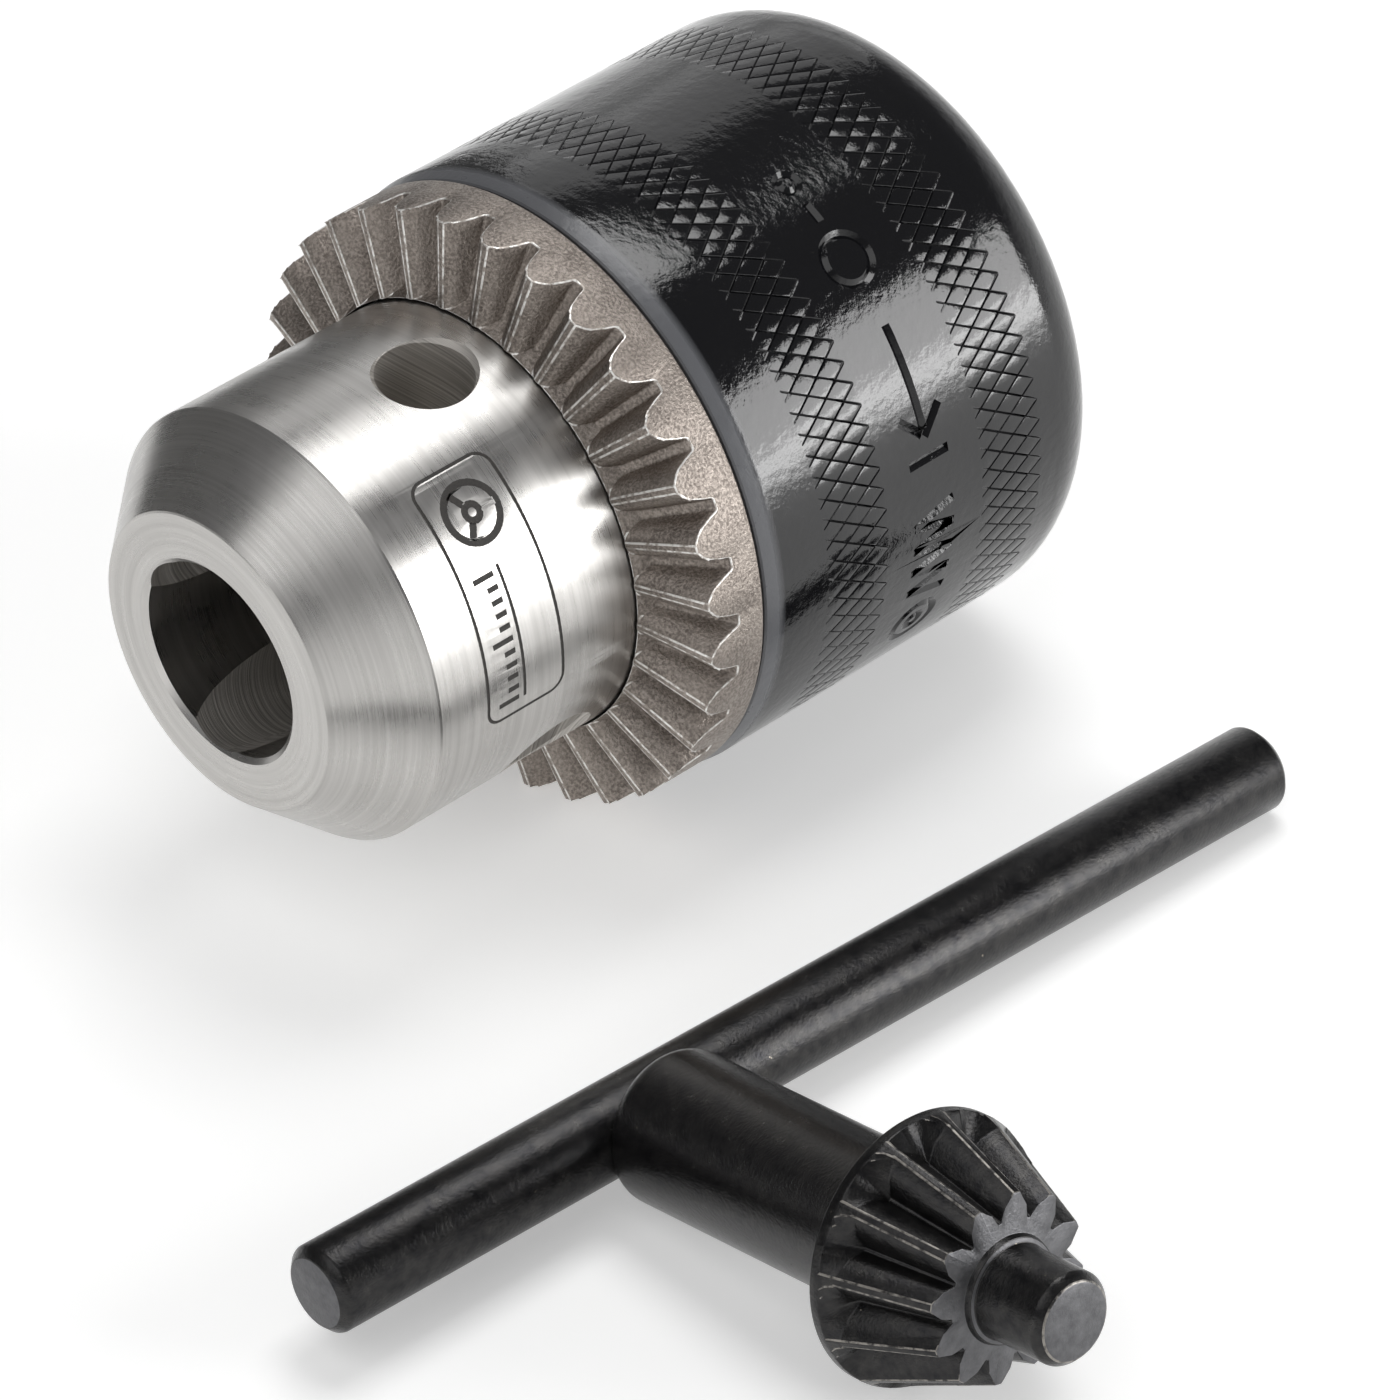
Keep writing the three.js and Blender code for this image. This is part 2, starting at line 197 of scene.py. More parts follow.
def loft(name, sections):
    """A closed skin over sections with equally many points, in mm: a grid with its rows moved to them."""
    rows = [[*section, section[0]] for section in sections]
    deselect()
    bpy.ops.mesh.primitive_grid_add(x_subdivisions=len(rows[0]) - 1, y_subdivisions=len(rows) - 1)
    piece = bpy.context.object
    piece.name = name
    for vertex, point in zip(piece.data.vertices, [point for row in rows for point in row]):
        vertex.co = Vector(point) * MM
    return clean(piece)


def join(pieces, name):
    pick(pieces[0])
    for piece in pieces:
        piece.select_set(True)
    bpy.ops.object.join()
    bpy.context.object.name = name
    return bpy.context.object


def copy_of(piece, name, turn):
    copy = piece.copy()
    copy.data = piece.data.copy()
    copy.name = name
    copy.data.transform(turn)
    bpy.context.collection.objects.link(copy)
    return copy


def around(piece, count, start=0.0):
    """Copies of a piece spaced evenly about +Y and joined; azimuth counts in degrees from +Z towards +X."""
    name = piece.name
    turns = [Matrix.Rotation(radians(start + 360 * i / count), 4, "Y") for i in range(count)]
    copies = [copy_of(piece, "copy", turn) for turn in turns]
    bpy.data.objects.remove(piece)
    return join(copies, name)


def modify(piece, kind, **settings):
    pick(piece)
    modifier = piece.modifiers.new(kind.title(), kind)
    for name, value in settings.items():
        setattr(modifier, name, value)
    bpy.ops.object.modifier_apply(modifier=modifier.name)


def cut(piece, cutter):
    """The cut faces take the cutter's finish, or the piece's first one if the cutter has none."""
    if not cutter.data.materials:
        give(cutter, piece.data.materials[0])
    modify(piece, "BOOLEAN", operation="DIFFERENCE", solver="MANIFOLD", material_mode="TRANSFER",
           object=cutter)
    bpy.data.objects.remove(cutter)


def soften(piece, width, angle, finish=-1):
    """Rounded edges, width in mm, where faces meet sharper than the angle; slivers are merged away first."""
    modify(piece, "WELD", merge_threshold=SLIVER * MM)
    modify(piece, "BEVEL", width=width * MM, segments=2, limit_method="ANGLE", angle_limit=radians(angle),
           material=finish, use_clamp_overlap=False)


def rubbed_and_highlighted_only(piece, chosen):
    """The second finish, rubbed edges with a painted highlight, stays only on the edges whose place, in mm,
    passes the test.
    """
    for face in piece.data.polygons:
        if face.material_index == 1 and not chosen(face.center / MM):
            face.material_index = 0


def smooth(piece, angle):
    pick(piece)
    bpy.ops.object.shade_smooth_by_angle(angle=radians(angle))


def give(piece, *finishes):
    for finish in finishes:
        piece.data.materials.append(finish)
    return piece


def settle(piece, place, body, node):
    """Puts a finished piece at its place and on its body, in the stead of its CAD node."""
    piece.data.transform(place)
    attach(piece, body)
    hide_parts(node)


def polar(radius, azimuth, distance):
    """A point of a turned piece's frame, azimuth in degrees from +Z towards +X."""
    return radius * sin(radians(azimuth)), distance, radius * cos(radians(azimuth))


def groove(name, path, width, depth, radius):
    """A cutter for a V-groove round a cylinder, along a path of (arc length, distance) in mm."""
    looped = path[0] == path[-1]
    lift = 0.5 * depth               # how far the cutter stands out of the surface
    half = 0.5 * width * (1 + lift / depth)
    sections = []
    for i, (u, v) in enumerate(path):
        before = path[i - 1] if i else (path[-2] if looped else path[0])
        after = path[i + 1] if i + 1 < len(path) else (path[1] if looped else path[-1])
        length = hypot(after[0] - before[0], after[1] - before[1])
        side_u, side_v = -(after[1] - before[1]) / length * half, (after[0] - before[0]) / length * half
        corners = ((u + side_u, v + side_v, lift), (u - side_u, v - side_v, lift), (u, v, -depth))
        sections.append([polar(radius + h, cu / radius * 360 / TAU, cv) for cu, cv, h in corners])
    return loft(name, sections)


def ring_path(u, v, size, steps=28):
    """A circle as a closed path."""
    path = [(u + size * cos(a), v + size * sin(a)) for a in [TAU * i / steps for i in range(steps)]]
    return [*path, path[0]]


def line_path(u0, v0, u1, v1, step=0.6):
    """A straight line as a path with points close enough to follow the curve it is wrapped on."""
    count = max(1, round(hypot(u1 - u0, v1 - v0) / step))
    return [(u0 + (u1 - u0) * i / count, v0 + (v1 - v0) * i / count) for i in range(count + 1)]


def frame_path(u0, v0, u1, v1, corner):
    """A rounded rectangle as a closed path."""
    path = []
    for cu, cv, start in ((u1 - corner, v1 - corner, 0), (u0 + corner, v1 - corner, 90),
                          (u0 + corner, v0 + corner, 180), (u1 - corner, v0 + corner, 270)):
        path += [(cu + corner * cos(radians(start + a)), cv + corner * sin(radians(start + a)))
                 for a in range(0, 91, 15)]
    spaced = []
    for here, there in zip(path, [*path[1:], path[0]]):
        spaced += line_path(*here, *there)[:-1]
    return [*spaced, spaced[0]]


# ---- materials ----

def srgb(code):
    """A colour written as sRGB hex, turned to linear."""
    parts = [int(code[i:i + 2], 16) / 255 for i in (1, 3, 5)]
    return (*[c / 12.92 if c <= 0.04045 else ((c + 0.055) / 1.055) ** 2.4 for c in parts], 1.0)


def connect(tree, node, inputs):
    """Gives a node's sockets their constants and their links."""
    for socket, value in inputs.items():
        if isinstance(value, bpy.types.NodeSocket):
            tree.links.new(value, node.inputs[socket])
        else:
            node.inputs[socket].default_value = value


def add(tree, kind, inputs, **settings):
    """The outputs of one new node with its settings, its constant inputs and its links."""
    made = tree.nodes.new(kind)
    for name, value in settings.items():
        setattr(made, name, value)
    connect(tree, made, inputs)
    return made.outputs


def material(name):
    made = bpy.data.materials.new(name)
    made.use_nodes = True
    return made, made.node_tree, made.node_tree.nodes["Principled BSDF"]


def local_point(tree, place):
    """Coordinates in mm in a piece's own frame, whose axis is +Y."""
    point = add(tree, "ShaderNodeTexCoord", {})["Object"]
    move, turn, _ = place.decompose()
    own = add(tree, "ShaderNodeMapping", {"Vector": point, "Location": move, "Rotation": turn.to_euler()},
              vector_type="TEXTURE")[0]
    return add(tree, "ShaderNodeVectorMath", {0: own, "Scale": 1 / MM}, operation="SCALE")[0]


def tool_lines(tree, place, spacing, drift=0.6):
    """Lines left by a turning tool, about one in each spacing in mm, which fade in and out round the piece.

    They count along the axis plus outwards, so that they also show on faces square to the axis.
    """
    point = add(tree, "ShaderNodeSeparateXYZ", {0: local_point(tree, place)})
    flat = add(tree, "ShaderNodeCombineXYZ", {"X": point["X"], "Y": point["Z"]})[0]
    radius = add(tree, "ShaderNodeVectorMath", {0: flat}, operation="LENGTH")["Value"]
    azimuth = add(tree, "ShaderNodeMath", {0: point["X"], 1: point["Z"]}, operation="ARCTAN2")[0]
    along = add(tree, "ShaderNodeMath", {0: point["Y"], 1: radius}, operation="ADD")[0]
    fast = add(tree, "ShaderNodeMath", {0: along, 1: 1 / spacing}, operation="MULTIPLY")[0]
    slow = add(tree, "ShaderNodeMath", {0: azimuth, 1: drift}, operation="MULTIPLY")[0]
    across = add(tree, "ShaderNodeCombineXYZ", {"X": fast, "Y": slow})[0]
    return add(tree, "ShaderNodeTexNoise", {"Vector": across, "Scale": 1.0, "Detail": 4.0,
                                            "Roughness": 0.65})["Fac"]


def two_tone(tree, pattern, low, high, first, second):
    """The first colour where a pattern is under low, turning to the second where it is over high."""
    share = add(tree, "ShaderNodeMapRange", {"Value": pattern, "From Min": low, "From Max": high})[0]
    return add(tree, "ShaderNodeMix", {0: share, 6: first, 7: second}, data_type="RGBA")[2]


def ground_steel():
    """Alloy steel, turned and fine ground: bright, satin, with hair lines running round it.

    Real hair lines are about 0.03 mm apart, too fine to show, and are drawn at 0.09 mm.
    """
    made, tree, shader = material("fine_ground_steel")
    fine = tool_lines(tree, CHUCK, 0.09, 0.9)
    broad = tool_lines(tree, CHUCK, 0.5, 0.3)
    cloud = add(tree, "ShaderNodeTexNoise", {"Vector": local_point(tree, CHUCK), "Scale": 0.35, "Detail": 2.0,
                                             "Roughness": 0.55})["Fac"]
    hair = add(tree, "ShaderNodeMapRange", {"Value": fine, "From Min": 0.3, "From Max": 0.7,
                                            "To Min": 0.25, "To Max": 0.32})[0]
    haze = add(tree, "ShaderNodeMapRange", {"Value": cloud, "From Min": 0.3, "From Max": 0.7,
                                            "To Min": -0.03, "To Max": 0.04})[0]
    connect(tree, shader, {
        "Base Color": two_tone(tree, broad, 0.35, 0.65, srgb("#B4B2AF"), srgb("#C4C2BF")),
        "Metallic": 1.0,
        "Roughness": add(tree, "ShaderNodeMath", {0: hair, 1: haze}, operation="ADD")[0],
        "Normal": add(tree, "ShaderNodeBump", {"Height": fine, "Distance": 0.0005 * MM, "Strength": 1.0})[0],
    })
    return made


def bored_steel():
    """The inside of drilled and bored holes: darker, oily, with clear tool rings about 0.22 mm apart."""
    made, tree, shader = material("bored_steel")
    rings = tool_lines(tree, CHUCK, 0.22, 0.4)
    connect(tree, shader, {
        # Partly painted light: the tool rings are real, but their pale tone and the lightened colour stand in
        # for light reaching into the bore.
        "Base Color": two_tone(tree, rings, 0.3, 0.7, srgb("#7C7771"), srgb("#E4E0DA")),
        "Metallic": 0.6,
        "Roughness": 0.42,
        "Normal": add(tree, "ShaderNodeBump", {"Height": rings, "Distance": 0.08 * MM, "Strength": 1.0})[0],
    })
    return made


def etched_steel():
    """Electro-etched marking: matt, nearly black oxide, a little uneven at 0.1 mm."""
    made, tree, shader = material("etched_steel")
    spots = add(tree, "ShaderNodeTexNoise", {"Vector": local_point(tree, CHUCK), "Scale": 9.0, "Detail": 3.0,
                                             "Roughness": 0.55})["Fac"]
    connect(tree, shader, {
        "Base Color": two_tone(tree, spots, 0.35, 0.7, srgb("#1B1917"), srgb("#34302C")),
        "Metallic": 0.0,
        "Roughness": 0.65,
    })
    return made


def pressed_steel():
    """Pressed and sintered gear steel: warm grey, matt, with a grain of about 0.2 mm and faint stains."""
    made, tree, shader = material("pressed_gear_steel")
    point = local_point(tree, CHUCK)
    grain = add(tree, "ShaderNodeTexNoise", {"Vector": point, "Scale": 5.0, "Detail": 4.0,
                                             "Roughness": 0.6})["Fac"]
    stain = add(tree, "ShaderNodeTexNoise", {"Vector": point, "Scale": 0.5, "Detail": 3.0,
                                             "Roughness": 0.55})["Fac"]
    waves = add(tree, "ShaderNodeTexNoise", {"Vector": point, "Scale": 1.6, "Detail": 2.0,
                                             "Roughness": 0.55})["Fac"]
    warm = two_tone(tree, stain, 0.35, 0.65, srgb("#8F8780"), srgb("#78706A"))
    rough = add(tree, "ShaderNodeMapRange", {"Value": grain, "From Min": 0.35, "From Max": 0.65,
                                             "To Min": 0.52, "To Max": 0.38})[0]
    sand = add(tree, "ShaderNodeBump", {"Height": grain, "Distance": 0.08 * MM, "Strength": 1.0})[0]
    normal = add(tree, "ShaderNodeBump", {"Height": waves, "Distance": 0.02 * MM, "Strength": 1.0,
                                          "Normal": sand})[0]
    connect(tree, shader, {
        "Base Color": two_tone(tree, grain, 0.4, 0.62, warm, srgb("#A89F97")),
        "Metallic": 1.0,
        "Roughness": rough,
        "Normal": normal,
    })
    return made


def worn_and_highlighted_edge(name, place, dark, bright):
    """Tooth edges of steel, rubbed bright by the matching teeth in patches of about 0.6 mm, and lightened as
    a painted highlight.
    """
    made, tree, shader = material(name)
    point = local_point(tree, place)
    patches = add(tree, "ShaderNodeTexNoise", {"Vector": point, "Scale": 1.6, "Detail": 4.0,
                                               "Roughness": 0.7})["Fac"]
    dents = add(tree, "ShaderNodeTexNoise", {"Vector": point, "Scale": 6.0, "Detail": 3.0,
                                             "Roughness": 0.55})["Fac"]
    connect(tree, shader, {
        "Base Color": two_tone(tree, patches, 0.4, 0.55, srgb(dark), srgb(bright)),
        "Metallic": 0.6,
        "Roughness": 0.35,
        "Normal": add(tree, "ShaderNodeBump", {"Height": dents, "Distance": 0.02 * MM, "Strength": 1.0})[0],
    })
    return made


def black_enamel():
    """Stoving enamel on knurled steel: deep black gloss with a faint orange peel and a few dust nibs.

    Its bevelled front edge is rubbed to a duller grey.
    """
    made, tree, shader = material("black_stoving_enamel")
    point = local_point(tree, CHUCK)
    along = add(tree, "ShaderNodeSeparateXYZ", {0: point})["Y"]
    dust = add(tree, "ShaderNodeTexNoise", {"Vector": point, "Scale": 4.0, "Detail": 5.0,
                                            "Roughness": 0.7})["Fac"]
    haze = add(tree, "ShaderNodeTexNoise", {"Vector": point, "Scale": 0.9, "Detail": 3.0,
                                            "Roughness": 0.55})["Fac"]
    sag = add(tree, "ShaderNodeTexNoise", {"Vector": point, "Scale": 0.5, "Detail": 2.0,
                                           "Roughness": 0.55})["Fac"]
    peel = add(tree, "ShaderNodeTexNoise", {"Vector": point, "Scale": 1.5, "Detail": 4.0,
                                            "Roughness": 0.6})["Fac"]
    front = add(tree, "ShaderNodeMapRange", {"Value": along, "From Min": SLEEVE["front"] + 0.9,
                                             "From Max": SLEEVE["front"] + 1.5, "To Min": 1, "To Max": 0})[0]
    body_color = two_tone(tree, dust, 0.66, 0.74, srgb("#0D0D0F"), srgb("#34332F"))
    gloss = add(tree, "ShaderNodeMapRange", {"Value": haze, "From Min": 0.3, "From Max": 0.7,
                                             "To Min": 0.05, "To Max": 0.1})[0]
    dull = add(tree, "ShaderNodeMapRange", {"Value": front, "To Max": 0.22})[0]
    sagged = add(tree, "ShaderNodeBump", {"Height": sag, "Distance": 0.03 * MM, "Strength": 1.0})[0]
    normal = add(tree, "ShaderNodeBump", {"Height": peel, "Distance": 0.03 * MM, "Strength": 1.0,
                                          "Normal": sagged})[0]
    connect(tree, shader, {
        "Base Color": two_tone(tree, front, 0, 1, body_color, srgb("#5A5B5E")),
        "Roughness": add(tree, "ShaderNodeMath", {0: gloss, 1: dull}, operation="ADD")[0],
        "IOR": 1.54,
        "Normal": normal,
    })
    return made


def black_oxide(name, dark="#252527", light="#3E3D3C", rough=0.2):
    """Hot black oxide on steel: a thin satin black film over fine tool lines, with a few pale specks."""
    made, tree, shader = material(name)
    point = local_point(tree, KEY)
    lines = tool_lines(tree, KEY, 0.12)
    mottle = add(tree, "ShaderNodeTexNoise", {"Vector": point, "Scale": 1.1, "Detail": 5.0,
                                              "Roughness": 0.65})["Fac"]
    specks = add(tree, "ShaderNodeTexNoise", {"Vector": point, "Scale": 1.9, "Detail": 2.0,
                                              "Roughness": 0.5})["Fac"]
    grain = add(tree, "ShaderNodeTexNoise", {"Vector": point, "Scale": 4.5, "Detail": 4.0,
                                             "Roughness": 0.65})["Fac"]
    film = two_tone(tree, mottle, 0.3, 0.7, srgb(dark), srgb(light))
    satin = add(tree, "ShaderNodeMapRange", {"Value": mottle, "From Min": 0.3, "From Max": 0.7,
                                             "To Min": rough, "To Max": rough + 0.08})[0]
    turned_lines = add(tree, "ShaderNodeBump", {"Height": lines, "Distance": 0.005 * MM, "Strength": 1.0})[0]
    normal = add(tree, "ShaderNodeBump", {"Height": grain, "Distance": 0.03 * MM, "Strength": 1.0,
                                          "Normal": turned_lines})[0]
    connect(tree, shader, {
        "Base Color": two_tone(tree, specks, 0.78, 0.8, film, srgb("#8A8378")),
        "Metallic": 0.85,
        "Roughness": satin,
        "Normal": normal,
    })
    return made


def hardened_steel(name, dark, bright, spacing):
    """Tool steel hardened in oil: dark grey with a straw tint and fine grinding lines."""
    made, tree, shader = material(name)
    lines = tool_lines(tree, CHUCK, spacing)
    connect(tree, shader, {
        "Base Color": two_tone(tree, lines, 0.35, 0.65, srgb(dark), srgb(bright)),
        "Metallic": 1.0,
        "Roughness": 0.34,
        "Normal": add(tree, "ShaderNodeBump", {"Height": lines, "Distance": 0.01 * MM, "Strength": 1.0})[0],
    })
    return made


# ---- chuck body ----

def jaw_centre_radius(distance):
    return JAW["start"] + tan(radians(JAW["lean"])) * distance


def up_the_jaw(index, distance):
    """Puts a shape made along +Y on a jaw's centre line, starting at that distance from the nose."""
    lean = Matrix.Rotation(radians(JAW["lean"]), 4, "X")
    place = Matrix.Translation(Vector((0, distance, jaw_centre_radius(distance))) * MM)
    return Matrix.Rotation(radians(JAW["azimuth"] + 120 * index), 4, "Y") @ place @ lean


def body_profile():
    """Half a section of the body; edges are broken by a few hundredths of a millimetre."""
    r, face_r, cone, bore = NOSE["r"], NOSE["face_r"], NOSE["cone"], NOSE["bore"]
    hub, rear, chamfer = BODY["hub"], BODY["rear"], BODY["chamfer"]
    minor, major = THREAD["minor"], THREAD["major"]
    nose = [(bore + 0.36, 0), (face_r - 0.09, 0), (face_r + 0.04, 0.05), (r - 0.07, cone - 0.08),
            (r, cone + 0.07)]
    nut_groove = [(r, BODY["groove"]), (BODY["groove_r"], BODY["groove"]), (BODY["groove_r"], BODY["collar"])]
    collar = [(BODY["collar_r"], BODY["collar"]), (BODY["collar_r"], BODY["collar_end"]),
              (BODY["taper_r"], hub)]
    rear_hub = [(BODY["hub_r"], hub), (BODY["hub_r"], rear - chamfer), (BODY["hub_r"] - chamfer, rear),
                (BODY["socket_r"], rear)]
    thread = []
    for i in range(THREAD["turns"]):
        start = THREAD["start"] - i * THREAD["pitch"]
        thread += [(minor, start), (minor, start - THREAD_FORM["crest"]),
                   (major, start - THREAD_FORM["flank"]), (major, start - THREAD_FORM["root"])]
    inside = [(minor, PASSAGE["socket_floor"]), (PASSAGE["r"], PASSAGE["rear"]),
              (PASSAGE["r"], PASSAGE["front"]), (bore, NOSE["bore_depth"]), (bore, NOSE["lip"])]
    return closed([*nose, *nut_groove, *collar, *rear_hub, *thread, *inside])


def key_hole_cutter():
    """A drilled hole with a lightly countersunk mouth."""
    r, mouth, floor = KEY_HOLE["r"], KEY_HOLE["mouth"], KEY_HOLE["floor"]
    outside = NOSE["r"] + 0.6
    profile = [(AXIS_R, floor - KEY_HOLE["point"]), (r, floor), (r, NOSE["r"] - 0.42),
               (mouth, NOSE["r"] - CLEAR), (mouth + 0.6, outside), (mouth + 0.6, NOSE["r"] + 2)]
    hole = turned("key_hole", profile, SMALL)
    place = Matrix.Translation((0, KEY_HOLE["at"] * MM, 0))
    hole.data.transform(place @ Matrix.Rotation(radians(90), 4, "X"))
    return around(hole, 3, KEY_HOLE["azimuth"])


def jaw_bore_cutter():
    bore = turned("jaw_bore", [(JAW["bore"], 0), (JAW["bore"], 75)], SMALL)
    bores = [copy_of(bore, "bore", up_the_jaw(i, -4)) for i in range(3)]
    bpy.data.objects.remove(bore)
    return join(bores, "jaw_bores")


def etched_marks(finish):
    """A plain maker's frame round a three-jaw sign, with a line and a scale beside it."""
    thin, thick = ETCHING["thin"], ETCHING["thick"]
    sign, scale = ETCHED_SIGN, ETCHED_SCALE
    lines = [(frame_path(*ETCHED_FRAME, ETCHING["corner"]), thin)]
    lines.append((line_path(scale["from"], scale["line"], scale["to"], scale["line"]), thin))
    lines.append((ring_path(sign["u"], sign["v"], sign["ring"]), thick))
    lines.append((ring_path(sign["u"], sign["v"], sign["hub"], 16), thick))
    for turn in (90, 210, 330):
        u, v = cos(radians(turn)), sin(radians(turn))
        near, far = sign["spoke_from"], sign["spoke_to"]
        lines.append((line_path(sign["u"] + near * u, sign["v"] + near * v,
                                sign["u"] + far * u, sign["v"] + far * v), thick))
    for i in range(scale["ticks"]):
        across = scale["first"] + scale["step"] * i
        low = scale["short"] if i % 5 else scale["long"]
        lines.append((line_path(across, low, across, scale["top"]), ETCHING["tick_width"]))
    cutters = [groove("line", path, width, ETCHING["depth"], NOSE["r"]) for path, width in lines]
    return give(join(cutters, "etching"), finish)


def chuck_body():
    body = turned("chuck_body_ground", body_profile(), FINE)
    give(body, ground_steel())
    bored = bored_steel()
    for cutter in (key_hole_cutter(), jaw_bore_cutter()):
        cut(body, give(cutter, bored))
    cut(body, etched_marks(etched_steel()))
    inside = list(body.data.materials).index(bored)
    for face in body.data.polygons:
        centre = face.center / MM
        on_bore = hypot(centre.x, centre.z) < NOSE["bore"] - 0.002
        if on_bore and NOSE["lip"] < centre.y < BODY["rear"] - BODY["chamfer"]:
            face.material_index = inside
    smooth(body, 14)
    settle(body, CHUCK, "chuck_body", "chuck_body")


# ---- jaws ----

def grip_planes(jaw):
    """Two grip faces that meet at 120 degrees on a line parallel to the chuck's axis, and a square tip."""
    grip = (0, 0, JAW["opening"])
    tip = (0, JAW["tip"], 0)
    land = (0, JAW["tip"], JAW["opening"] + JAW["land"])
    out, back, land_angle = sin(radians(30)), -cos(radians(30)), radians(JAW["land_angle"])
    planes = [(grip, (out, 0, back)), (grip, (-out, 0, back)), (tip, (0, -1, 0)),
              (land, (0, -cos(land_angle), sin(land_angle))), ((0, 0, JAW["back"]), (0, 0, 1))]
    for point, normal in planes:
        edit(jaw)
        bpy.ops.mesh.bisect(plane_co=Vector(point) * MM, plane_no=normal, use_fill=True, clear_outer=True)
        leave()


def rack_cutter():
    """V-grooves across the outer side of a jaw, one for each turn of the nut's thread."""
    count = int((JAW["length"] - RACK["clear"]) / RACK["pitch"])
    top, floor, half = JAW["r"] + RACK["over"], JAW["r"] - RACK["depth"], RACK["pitch"] / 2 + RACK["flare"]
    teeth = []
    for i in range(count):
        y = RACK["clear"] + i * RACK["pitch"]
        section = [(y - RACK["root"], floor), (y + RACK["root"], floor), (y + half, top), (y - half, top)]
        ends = (-RACK["reach"], RACK["reach"])
        teeth.append(loft("tooth", [[(x, py, pz) for py, pz in section] for x in ends]))
    return join(teeth, "rack")


def jaws():
    """One jaw is made at azimuth zero, and each of the three is a copy turned to its own bore."""
    rod = turned("jaw", [(JAW["r"], -6), (JAW["r"], JAW["length"])], SMALL)
    rack = rack_cutter()
    for piece in (rod, rack):
        piece.data.transform(Matrix.Rotation(radians(-JAW["azimuth"]), 4, "Y") @ up_the_jaw(0, JAW["tip"]))
    give(rod, hardened_steel("hardened_jaw_steel", "#6B6660", "#8F8A82", 0.3))
    grip_planes(rod)
    soften(rod, JAW["edge"], 30)
    cut(rod, rack)
    smooth(rod, 40)
    for i in range(3):
        jaw = copy_of(rod, f"jaw_{i + 1}_ground", Matrix.Rotation(radians(JAW["azimuth"] + 120 * i), 4, "Y"))
        settle(jaw, CHUCK, f"jaw_{i + 1}", f"jaw_{i + 1}")
    bpy.data.objects.remove(rod)


# ---- ring gear ----

def gear_line(ends, radius):
    """Distance from the nose, at that radius, on a straight line of the gear."""
    (r0, s0), (r1, s1) = ends
    return s0 + (s1 - s0) * (radius - r0) / (r1 - r0)


def gear_crest(radius):
    return gear_line(((GEAR["bore"], GEAR_CREST["inner"]), (GEAR["r"], GEAR_CREST["outer"])), radius)


def gear_floor(radius):
    return gear_line(((GEAR_FLOOR["inner_r"], GEAR_FLOOR["inner"]), (GEAR["r"], GEAR_FLOOR["outer"])), radius)


def gear_gap():
    """A cutter for one gap; at its inner end it stops at a steep cone, short of the bore."""
    pitch = TAU * GEAR["r"] / GEAR["teeth"]
    half = [(pitch / 2 - width, share) for width, share in GEAR_TOOTH]
    outline = [*half, *[(-width, share) for width, share in reversed(half)]]
    outside, past_bore = GEAR["r"] + 0.8, GEAR["bore"] - 0.3
    at_bore = GEAR_FLOOR["inner"] - (GEAR_FLOOR["inner_r"] - GEAR["bore"] + 0.3) / GEAR_FLOOR["cone"]
    outer, inner, past = [], [], []
    for width, share in outline:
        azimuth = width / GEAR["r"] * 360 / TAU
        crest, floor = gear_crest(outside), gear_floor(outside)
        outer.append(polar(outside, azimuth, crest + share * (floor - crest)))
        r = past_bore
        for _ in range(12):          # where this line of the gap meets the cone
            along = gear_crest(r) + share * (gear_floor(r) - gear_crest(r))
            r = max(past_bore, GEAR_FLOOR["inner_r"] - (GEAR_FLOOR["inner"] - along) * GEAR_FLOOR["cone"])
        inner.append(polar(r, azimuth, along))
        past.append(polar(past_bore, azimuth, min(along, at_bore)))
    return loft("gap", [outer, inner, past])


def on_gear_rim(point):
    """The crests of the teeth and the outline of the gaps at the rim."""
    radius = hypot(point.x, point.z)
    on_crest = point.y < gear_crest(radius) + 0.3
    return on_crest or (radius > GEAR["r"] - 0.12 and point.y < GEAR_FLOOR["outer"] + 0.3)


def ring_gear():
    bore, r, back, web = GEAR["bore"], GEAR["r"], GEAR["back"], GEAR["web"]
    face = [(bore, GEAR_CREST["inner"]), (r, GEAR_CREST["outer"]), (r, back - 0.08), (r - 0.1, back)]
    skirt = [(GEAR["skirt_r"], back), (GEAR["skirt_r"], GEAR["skirt"]), (GEAR["skirt_bore"], GEAR["skirt"])]
    profile = closed([*face, *skirt, (GEAR["skirt_bore"], web), (bore, web)])
    gear = turned("ring_gear_pressed", profile, COARSE)
    # The tooth edges get the second finish: rubbed wear with a painted highlight along the crests.
    give(gear, pressed_steel(), worn_and_highlighted_edge("gear_edge_rubbed_and_highlighted", CHUCK, "#A39A92", "#F2F0EC"))
    cut(gear, around(gear_gap(), GEAR["teeth"], GEAR["phase"] + 180 / GEAR["teeth"]))
    soften(gear, GEAR["edge"], 26, 1)
    rubbed_and_highlighted_only(gear, on_gear_rim)
    smooth(gear, 24)
    settle(gear, CHUCK, "sleeve", "ring_gear")


# ---- knurled sleeve ----

